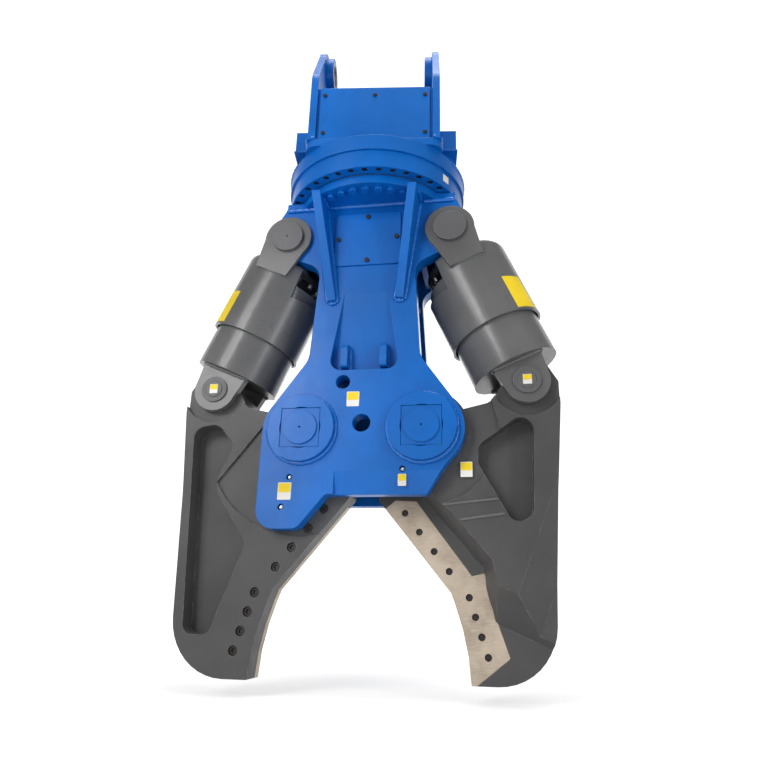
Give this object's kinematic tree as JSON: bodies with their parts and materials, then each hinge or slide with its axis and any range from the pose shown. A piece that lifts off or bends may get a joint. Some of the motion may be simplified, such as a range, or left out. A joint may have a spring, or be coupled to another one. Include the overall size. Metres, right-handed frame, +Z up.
{
  "type": "hydraulic shear",
  "caption": "Excavator-mounted slewing hydraulic shear: two bladed jaws, each closed by its own guarded cylinder, under a round slewing head and a pin-on bracket.",
  "frame": {"origin": "centre of the stick-pin bore, midway between the bracket ears", "axes": "+X along the stick pin to the right-hand ear, +Z up along the slew axis, -Y towards the front of the shear"},
  "size_m": [1.1652, 0.738, 2.133],
  "materials": {
    "blue_paint": "satin",
    "grey_paint": "satin",
    "dark_paint": "satin",
    "blade_steel": "ground",
    "black_bolt": "black oxide",
    "plated_steel": "zinc plated",
    "rod_chrome": "polished",
    "bronze": "machined",
    "gear_steel": "greased",
    "race_steel": "machined",
    "bush_steel": "machined"
  },
  "bodies": {
    "bracket": {"bracket_base": "blue_paint", "left_ear": "blue_paint", "right_ear": "blue_paint", "ear_bosses": "blue_paint", "bracket_bushes": "bush_steel", "bracket_walls": "blue_paint", "covers": "blue_paint", "cover_screws": "black_bolt", "left_motor": "blue_paint", "right_motor": "blue_paint", "outer_race": "blue_paint", "race_bolts": "black_bolt", "swivel_housing": "dark_paint"},
    "body": {"inner_race": "race_steel", "slew_gear": "gear_steel", "underside_bolts": "blue_paint", "swivel_core": "dark_paint", "top_plate": "blue_paint", "front_plate": "blue_paint", "rear_plate": "blue_paint", "closing_webs": "blue_paint", "ribs": "blue_paint", "access_panels": "blue_paint", "body_bolts": "black_bolt", "hose_lugs": "blue_paint", "pivot_collars": "blue_paint", "thrust_washers": "bronze", "left_pivot_pin": "blue_paint", "right_pivot_pin": "blue_paint", "pin_keepers": "blue_paint", "keeper_bolts": "black_bolt", "grease_nipples": "plated_steel"},
    "left_pinion": {"left_pinion": "gear_steel"},
    "right_pinion": {"right_pinion": "gear_steel"},
    "left_jaw": {"left_jaw": "grey_paint", "left_jaw_bushes": "bronze", "left_upper_blade": "blade_steel", "left_lower_blade": "blade_steel", "left_blade_bolts": "black_bolt"},
    "left_cylinder": {"left_barrel": "dark_paint", "left_base_bolts": "plated_steel", "left_gland": "dark_paint", "left_guard": "grey_paint", "left_eye_pin": "grey_paint"},
    "left_ram": {"left_rod": "rod_chrome", "left_sleeve": "grey_paint", "left_rod_pin": "grey_paint"},
    "right_jaw": {"right_jaw": "grey_paint", "right_jaw_bushes": "bronze", "right_upper_blade": "blade_steel", "right_lower_blade": "blade_steel", "right_blade_bolts": "black_bolt"},
    "right_cylinder": {"right_barrel": "dark_paint", "right_base_bolts": "plated_steel", "right_gland": "dark_paint", "right_guard": "grey_paint", "right_eye_pin": "grey_paint"},
    "right_ram": {"right_rod": "rod_chrome", "right_sleeve": "grey_paint", "right_rod_pin": "grey_paint"}
  },
  "joints": [
    {"name": "slew", "type": "hinge", "parent": "bracket", "child": "body", "pos_m": [0, 0.075, -0.494], "axis": [0, 0, 1], "continuous": true},
    {"name": "left_pinion_spin", "type": "hinge", "parent": "bracket", "child": "left_pinion", "pos_m": [-0.20603, -0.01034, -0.49], "axis": [0, 0, 1], "continuous": true},
    {"name": "right_pinion_spin", "type": "hinge", "parent": "bracket", "child": "right_pinion", "pos_m": [0.20603, -0.01034, -0.49], "axis": [0, 0, 1], "continuous": true},
    {"name": "left_jaw_pivot", "type": "hinge", "parent": "body", "child": "left_jaw", "pos_m": [-0.17785, 0.09526, -1.365], "axis": [-0.1132, -0.9936, 0], "range_deg": [0, 33]},
    {"name": "left_cylinder_swing", "type": "hinge", "parent": "body", "child": "left_cylinder", "pos_m": [-0.2633, 0.105, -0.715], "axis": [-0.1132, -0.9936, 0], "range_deg": [0, 3.2]},
    {"name": "left_ram_slide", "type": "slide", "parent": "left_cylinder", "child": "left_ram", "axis": [-0.396, 0.0451, -0.9172], "range_m": [0, 0.19]},
    {"name": "right_jaw_pivot", "type": "hinge", "parent": "body", "child": "right_jaw", "pos_m": [0.17785, 0.05474, -1.365], "axis": [0.1132, 0.9936, 0], "range_deg": [0, 33]},
    {"name": "right_cylinder_swing", "type": "hinge", "parent": "body", "child": "right_cylinder", "pos_m": [0.2633, 0.045, -0.715], "axis": [0.1132, 0.9936, 0], "range_deg": [0, 3.2]},
    {"name": "right_ram_slide", "type": "slide", "parent": "right_cylinder", "child": "right_ram", "axis": [0.396, -0.0451, -0.9172], "range_m": [0, 0.19]}
  ],
  "couplings": [
    {"joint": "left_pinion_spin", "follows": "slew", "ratio": -6},
    {"joint": "right_pinion_spin", "follows": "slew", "ratio": -6},
    {"joint": "left_cylinder_swing", "follows": "left_jaw_pivot", "ratio": 0.0949},
    {"joint": "left_ram_slide", "follows": "left_jaw_pivot", "m_per_rad": 0.32904},
    {"joint": "right_cylinder_swing", "follows": "right_jaw_pivot", "ratio": 0.0949},
    {"joint": "right_ram_slide", "follows": "right_jaw_pivot", "m_per_rad": 0.32904}
  ]
}
